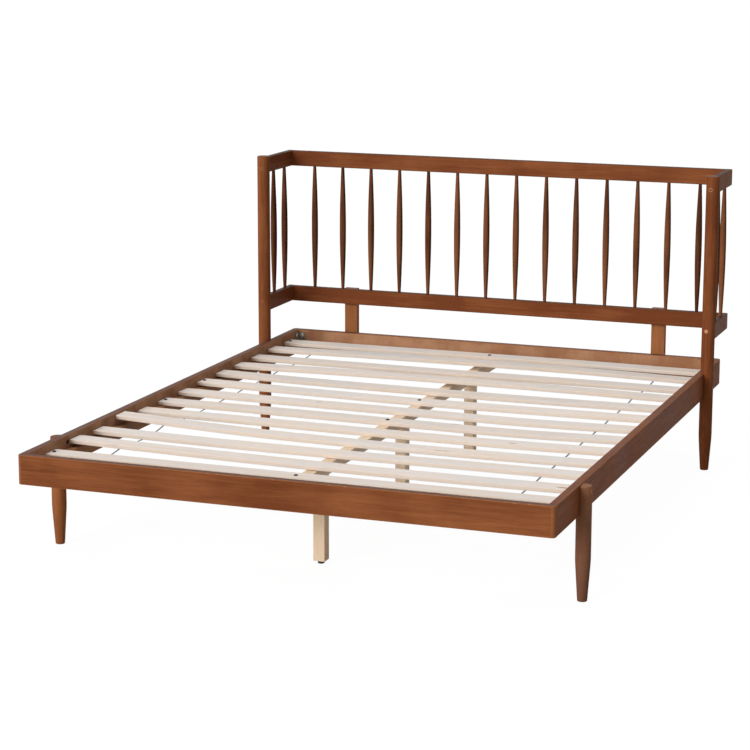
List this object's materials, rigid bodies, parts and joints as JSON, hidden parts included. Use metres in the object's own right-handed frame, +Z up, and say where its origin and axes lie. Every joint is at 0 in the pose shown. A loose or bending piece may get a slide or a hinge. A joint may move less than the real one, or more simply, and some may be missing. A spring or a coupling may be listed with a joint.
{
  "type": "platform bed",
  "caption": "Low slatted platform bed of stained wood on round tapered legs, with a winged spindle headboard and levelling glides under the centre legs.",
  "frame": {"origin": "on the floor, at the middle of the bed's overall box", "axes": "+Z up, +Y from the foot rail to the headboard, +X to the right when seen from the foot"},
  "size_m": [1.66, 2.11, 1],
  "materials": {
    "cross_rail_wood": "satin brown stain, grain across the bed",
    "long_rail_wood": "satin brown stain, grain along the bed",
    "turned_wood": "satin brown stain, upright grain",
    "spindle_wood": "satin brown stain, upright grain",
    "strut_wood": "satin brown stain, upright grain",
    "ledge_wood": "thin brown stain, grain along the bed",
    "slat_wood": "planed and unfinished",
    "beam_wood": "planed and unfinished",
    "centre_leg_wood": "planed and unfinished",
    "bracket_steel": "zinc plated",
    "glide_plastic": "moulded",
    "tape_cloth": "woven tape"
  },
  "bodies": {
    "bed_frame": {"foot_rail": "cross_rail_wood", "head_rail": "cross_rail_wood", "headboard_top_rail": "cross_rail_wood", "headboard_lower_rail": "cross_rail_wood", "left_side_rail": "long_rail_wood", "right_side_rail": "long_rail_wood", "left_wing_top_rail": "long_rail_wood", "right_wing_top_rail": "long_rail_wood", "left_wing_lower_rail": "long_rail_wood", "right_wing_lower_rail": "long_rail_wood", "foot_legs": "turned_wood", "left_headboard_post": "turned_wood", "right_headboard_post": "turned_wood", "left_headboard_strut": "strut_wood", "right_headboard_strut": "strut_wood", "left_slat_ledge": "ledge_wood", "right_slat_ledge": "ledge_wood", "back_spindles": "spindle_wood", "wing_spindles": "spindle_wood", "slat_01": "slat_wood", "slat_02": "slat_wood", "slat_03": "slat_wood", "slat_04": "slat_wood", "slat_05": "slat_wood", "slat_06": "slat_wood", "slat_07": "slat_wood", "slat_08": "slat_wood", "slat_09": "slat_wood", "slat_10": "slat_wood", "slat_11": "slat_wood", "slat_12": "slat_wood", "slat_13": "slat_wood", "centre_beam": "beam_wood", "foot_centre_leg": "centre_leg_wood", "middle_centre_leg": "centre_leg_wood", "head_centre_leg": "centre_leg_wood", "slat_tapes": "tape_cloth", "angle_brackets": "bracket_steel"},
    "foot_level": {"foot_glide": "glide_plastic"},
    "middle_level": {"middle_glide": "glide_plastic"},
    "head_level": {"head_glide": "glide_plastic"}
  },
  "joints": [
    {"name": "foot_glide_screw", "type": "slide", "parent": "bed_frame", "child": "foot_level", "axis": [0, 0, -1], "range_m": [0, 0.01]},
    {"name": "middle_glide_screw", "type": "slide", "parent": "bed_frame", "child": "middle_level", "axis": [0, 0, -1], "range_m": [0, 0.01]},
    {"name": "head_glide_screw", "type": "slide", "parent": "bed_frame", "child": "head_level", "axis": [0, 0, -1], "range_m": [0, 0.01]}
  ]
}
